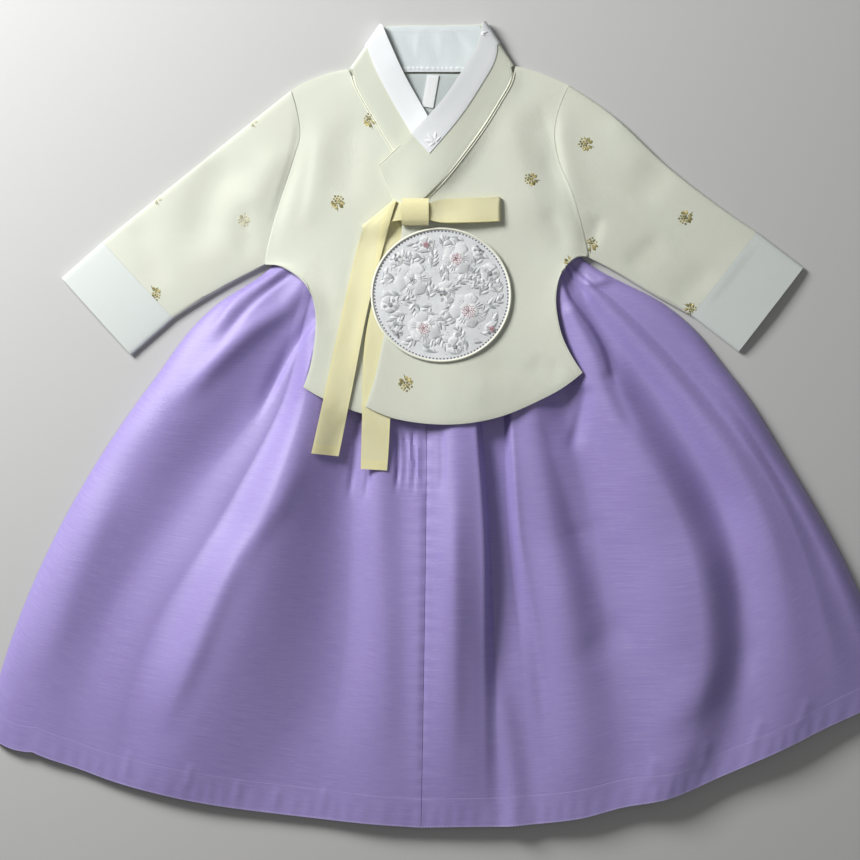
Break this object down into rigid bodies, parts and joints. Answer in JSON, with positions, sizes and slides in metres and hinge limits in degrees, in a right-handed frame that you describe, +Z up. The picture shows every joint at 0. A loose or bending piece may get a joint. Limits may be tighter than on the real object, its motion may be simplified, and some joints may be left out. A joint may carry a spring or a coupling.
{
  "type": "korean hanbok",
  "caption": "Small child's hanbok laid out flat: a long curved-hem jacket with crossed fronts, a ribbon tie and a round badge, over a full gathered skirt.",
  "frame": {"origin": "middle of the outfit's outline, on the surface that it lies on", "axes": "+Z up from the surface, +Y from the skirt's hem to the collar, +X to the right as seen from above with the collar at the top"},
  "size_m": [0.8359, 0.7393, 0.0339],
  "materials": {
    "jacket": "pale ivory-green satin",
    "cuff": "white-grey satin",
    "strip": "white",
    "lining": "pale grey lining",
    "label": "bare white tape",
    "ribbon": "translucent pale yellow gauze",
    "badge": "silver-white embroidery on satin",
    "skirt": "lavender slubbed silk with a soft sheen"
  },
  "bodies": {
    "root": {"jacket_back": "jacket", "front_inner": "jacket", "front_outer": "jacket", "sleeve_left": "jacket", "sleeve_right": "jacket", "collar": "jacket", "cuff_left": "cuff", "cuff_right": "cuff", "neck_strip": "strip", "collar_facing": "strip", "back_lining": "lining", "label": "label", "ribbon_tail_short": "ribbon", "ribbon_tail_long": "ribbon", "ribbon_knot": "ribbon", "ribbon_loop": "ribbon", "badge": "badge", "skirt_front_left": "skirt", "skirt_front_right": "skirt", "skirt_back": "skirt", "waistband": "skirt"}
  },
  "joints": []
}
